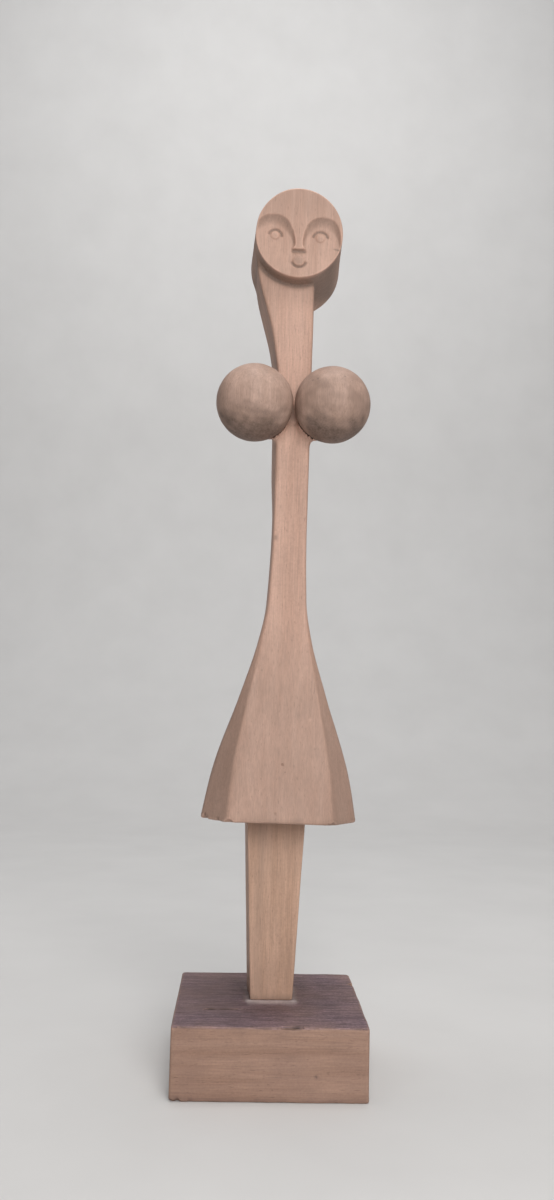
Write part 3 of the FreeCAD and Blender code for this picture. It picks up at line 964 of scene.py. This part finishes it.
def wood(name, pale, deep, dirt_and_shade, mottle, grain="z", corner_shade_strength=0.5, roughness=0.6, weathered=False):
    """Bare pale hardwood: fibres, faint growth bands, dark flecks, soiling mixed with painted shade,
    painted shade in corners, and worn edges lightened also as painted highlight.
    """
    t = Tree(name)

    def along_grain(across, along):
        return [along if axis == grain else across for axis in "xyz"]

    bands = t.noise(along_grain(4.5, 80.0), 2.0, 0.5, 0.6)
    fibres = t.noise(along_grain(0.5, 13.0), 4.0, 0.65)
    flecks = t.noise(along_grain(0.3, 2.2), 1.0, 0.4)
    patches = t.noise([11.0, 11.0, 14.0], 5.0, 0.62)
    speckle = t.noise([0.8, 0.8, 0.8], 3.0, 0.6)
    uneven = t.remap(speckle, 0.3, 0.7, 0.6, 1.0)
    colour = t.mix(t.remap(bands, 0.32, 0.68), rgba(pale), rgba(deep))
    colour = t.shade(colour, t.remap(fibres, 0.3, 0.7, 0.84, 1.12))
    colour = t.shade(colour, t.remap(speckle, 0.3, 0.7, 0.93, 1.06))
    colour = t.mix(t.remap(flecks, 0.66, 0.74, 0.0, 0.4), colour, rgba(deep, 0.45))
    colour = t.mix(t.remap(patches, 0.4, 0.72, 0.0, mottle), colour, rgba(dirt_and_shade, 1.4))
    relief = fibres
    if weathered:
        share = t.times(t.attribute("weathered"), t.remap(patches, 0.25, 0.6, 0.85, 1.0))
        colour, ridges = weathered_skin(t, share, speckle, colour)
        relief = t.plus(fibres, ridges)
    # Corners darkened towards the grime colour: painted shade, with grime that gathers there.
    corner = t.times(t.remap(t.attribute("corner"), 0.15, 0.8), t.remap(patches, 0.2, 0.8, 0.3, 1.0))
    colour = t.mix(t.times(corner, corner_shade_strength), colour, rgba(dirt_and_shade))
    # This mark darkens towards the grime colour: real grime, plus painted shade and shadow where a
    # piece's marks put it.
    colour = t.mix(t.times(t.attribute("soil_and_shade"), uneven), colour, rgba(dirt_and_shade))
    # Convex edges made paler: wear, and a painted highlight where edges catch the light.
    edge = t.times(t.remap(t.attribute("edge"), 0.3, 1.3), t.remap(patches, 0.7, 0.3, 0.15, 0.75))
    colour = t.mix(edge, colour, rgba(pale, 1.15))
    if weathered:
        colour = t.mix(t.times(t.attribute("dust"), uneven), colour, rgba(DUST))
        colour = t.mix(t.attribute("cracks"), colour, rgba(IN_CRACKS))
    t.put(t.surface.inputs["Base Color"], colour)
    t.put(t.surface.inputs["Roughness"], t.remap(fibres, 0.3, 0.7, roughness - 0.07, roughness + 0.1))
    t.surface.inputs["Specular IOR Level"].default_value = 0.35
    shallow = t.bump(patches, 0.3, 0.35)
    t.put(t.surface.inputs["Normal"], t.bump(relief, 0.06, 0.8, shallow))
    return t.material


def figure_wood():
    pale, deep = (0.63, 0.402, 0.313), (0.54, 0.332, 0.252)
    return wood("figure_wood", pale, deep, GRIME_AND_SHADE, mottle=0.16, corner_shade_strength=0.12)


def ball_wood():
    # the last colour is the balls' grime colour, also used for their painted underside shade
    pale, deep, ball_grime_and_shade = (0.53, 0.36, 0.29), (0.44, 0.292, 0.227), (0.09, 0.06, 0.046)
    return wood("ball_wood", pale, deep, ball_grime_and_shade, mottle=0.25)


def leg_wood():
    pale, deep = (0.62, 0.398, 0.292), (0.52, 0.325, 0.23)
    return wood("leg_wood", pale, deep, GRIME_AND_SHADE, mottle=0.14)


def plinth_wood():
    pale, deep, dark = (0.4, 0.25, 0.186), (0.33, 0.198, 0.143), (0.1, 0.064, 0.064)
    return wood("plinth_wood", pale, deep, dark, mottle=0.2, grain="x", roughness=0.66, weathered=True)


def screw_steel():
    t = Tree("screw_steel")
    tarnish = t.noise([1.2, 1.2, 1.2], 5.0, 0.6)
    colour = t.mix(t.remap(tarnish, 0.4, 0.7), (0.55, 0.54, 0.52, 1.0), (0.3, 0.22, 0.16, 1.0))
    t.put(t.surface.inputs["Base Color"], colour)
    t.put(t.surface.inputs["Roughness"], t.remap(tarnish, 0.3, 0.7, 0.3, 0.6))
    t.surface.inputs["Metallic"].default_value = 1.0
    t.put(t.surface.inputs["Normal"], t.bump(t.noise([0.2, 0.2, 3.0]), 0.03))
    return t.material


def dowel_wood():
    t = Tree("dowel_wood")
    fibres = t.noise([0.3, 4.0, 0.3], 4.0, 0.6)
    colour = t.mix(t.remap(fibres, 0.3, 0.7), (0.62, 0.46, 0.3, 1.0), (0.45, 0.31, 0.19, 1.0))
    t.put(t.surface.inputs["Base Color"], colour)
    t.put(t.surface.inputs["Roughness"], t.remap(fibres, 0.3, 0.7, 0.55, 0.7))
    t.put(t.surface.inputs["Normal"], t.bump(fibres, 0.03))
    return t.material


# ---------------------------------------------------------------- pieces

# grid lines stand this many times further apart, and reach this far past a piece's box
DETAIL = 1.0
GRID_EDGE = 1.5


def grid(low, high, steps, fine=(None, None, None), fine_step=None):
    """Grid lines round a box. fine holds a (start, end) stretch for each axis, or None."""
    fine_width = fine_step and fine_step * DETAIL
    return [
        spacing(low[k] - GRID_EDGE, high[k] + GRID_EDGE, steps[k] * DETAIL, fine[k], fine_width)
        for k in range(3)
    ]


def put_on(piece, node, material):
    piece.data.materials.append(material)
    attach(piece, "root")
    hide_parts(node)


def make_block():
    front_half = (PLINTH_LOW[1] - 0.2, PLINTH_LOW[1] + 19.5)
    top_edge = (PLINTH_TOP - 1.4, PLINTH_TOP + 0.2)
    axes = grid(PLINTH_LOW, PLINTH_HIGH, [0.6, 0.7, 0.8], (None, front_half, top_edge), 0.3)
    marks = {"weathered": weathering, "dust": foot_dust, "soil_and_shade": plinth_soil, "cracks": plinth_cracks}
    block = carve("block", plinth_field, axes, marks)
    put_on(block, "plinth", plinth_wood())


def make_leg():
    leg = carve("leg", leg_field, grid(LEG_LOW, LEG_HIGH, [0.5, 0.5, 0.9]), {"soil_and_shade": leg_dirt_and_hem_shadow})
    put_on(leg, "leg_post", leg_wood())


def make_figure():
    face = (FACE_Y - 0.6, FACE_Y + 3.4)
    head = (HEAD_Z - 17.5, HEAD_Z + 17.5)
    across = (LEG_TOP_X - 14.0, LEG_TOP_X + 20.0)
    axes = grid(FIGURE_LOW, FIGURE_HIGH, [0.5, 0.55, 0.8], (across, face, head), 0.3)
    figure = carve("figure", figure_field, axes, {"soil_and_shade": figure_dirt_and_shade})
    put_on(figure, "carved_figure", figure_wood())


def make_balls():
    turned = ball_wood()
    for name, node, (centre, radius), grime, pores, seed in (
        ("left_ball", "ball_left", BALLS[0], 0.06, [], 51),
        ("right_ball", "ball_right", BALLS[1], 0.24, PORES, 61),
    ):
        axes = grid(centre - radius, centre + radius, [0.45, 0.45, 0.45])
        marks = {"soil_and_shade": ball_dirt_and_underside_shade(centre, radius, grime, pores, seed + 5)}
        put_on(carve(name, ball_field(centre, radius, seed), axes, marks), node, turned)


def dress_cad_nodes():
    """The pegs and the screw stay as they were designed, with materials of their own."""
    dowel = dowel_wood()
    for node, slot, material in (
        ("plinth_screw", "screw_steel", screw_steel()),
        ("ball_peg_left", "peg_wood", dowel),
        ("ball_peg_right", "peg_wood", dowel),
    ):
        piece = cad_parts[node]
        piece.data.materials.clear()
        piece.data.materials.append(material)


# ---------------------------------------------------------------- floor, light and camera


def studio():
    """A pale floor that curves up into a backdrop."""
    half, front, bend_start, radius, top = 2.0, -1.6, 0.6, 0.5, 2.2
    outline = [(front, 0.0), (bend_start, 0.0)]
    turns = 16
    for i in range(1, turns + 1):
        angle = math.pi / 2 * i / turns
        outline.append((bend_start + radius * math.sin(angle), radius * (1 - math.cos(angle))))
    outline.append((bend_start + radius, top))
    vertices = [(x, y, z) for y, z in outline for x in (-half, half)]
    faces = [(2 * i, 2 * i + 1, 2 * i + 3, 2 * i + 2) for i in range(len(outline) - 1)]
    mesh = bpy.data.meshes.new("studio")
    mesh.from_pydata(vertices, [], faces)
    mesh.polygons.foreach_set("use_smooth", np.ones(len(faces), bool))
    t = Tree("studio_paper")
    cloud = t.noise([60.0, 60.0, 60.0], 3.0)
    colour = t.mix(t.remap(cloud, 0.3, 0.7), (0.66, 0.65, 0.64, 1.0), (0.63, 0.62, 0.61, 1.0))
    t.put(t.surface.inputs["Base Color"], colour)
    t.surface.inputs["Roughness"].default_value = 0.9
    mesh.materials.append(t.material)
    floor = bpy.data.objects.new("studio", mesh)
    bpy.context.scene.collection.objects.link(floor)


def area_light(name, place, target, size, watts, colour):
    data = bpy.data.lights.new(name, "AREA")
    data.shape = "DISK"
    data.size = size
    data.energy = watts
    data.color = colour
    lamp = bpy.data.objects.new(name, data)
    lamp.location = place
    lamp.rotation_euler = (Vector(target) - Vector(place)).to_track_quat("-Z", "Y").to_euler()
    bpy.context.scene.collection.objects.link(lamp)


def light_scene():
    middle = (CAD_LOW + CAD_HIGH) / 2
    for name, place, target, size, watts, colour in (
        ("key", (0.12, -0.8, 0.48), middle, 0.6, 5.4, (1.0, 0.99, 0.97)),
        ("overhead", (0.12, -0.3, 1.05), middle, 0.4, 2.0, (1.0, 0.99, 0.98)),
        ("backdrop_light", (0.0, 0.15, 1.3), (0.0, 1.1, 0.35), 0.8, 10.0, (1.0, 1.0, 1.0)),
    ):
        area_light(name, place, target, size, watts, colour)
    world = bpy.data.worlds.new("studio_air")
    world.use_nodes = True
    background = world.node_tree.nodes["Background"]
    background.inputs["Color"].default_value = (0.9, 0.93, 1.0, 1.0)
    background.inputs["Strength"].default_value = 0.12
    bpy.context.scene.world = world
    bpy.context.scene.view_settings.view_transform = "Standard"


CAMERA_PLACE = (-0.01236, -0.36354, 0.12867)
CAMERA_TURN_DEG = (95.517, -1.377, -2.041)
CAMERA_LENS = 30.0
CAMERA_SENSOR = 36.0
CAMERA_CLIP_START = 0.01


def place_camera():
    data = bpy.data.cameras.new("camera")
    data.lens = CAMERA_LENS
    data.sensor_width = CAMERA_SENSOR
    data.clip_start = CAMERA_CLIP_START
    camera = bpy.data.objects.new("camera", data)
    camera.location = CAMERA_PLACE
    camera.rotation_euler = [math.radians(a) for a in CAMERA_TURN_DEG]
    bpy.context.scene.collection.objects.link(camera)
    bpy.context.scene.camera = camera


make_block()
make_leg()
make_figure()
make_balls()
dress_cad_nodes()
studio()
light_scene()
place_camera()

bpy.context.view_layer.update()
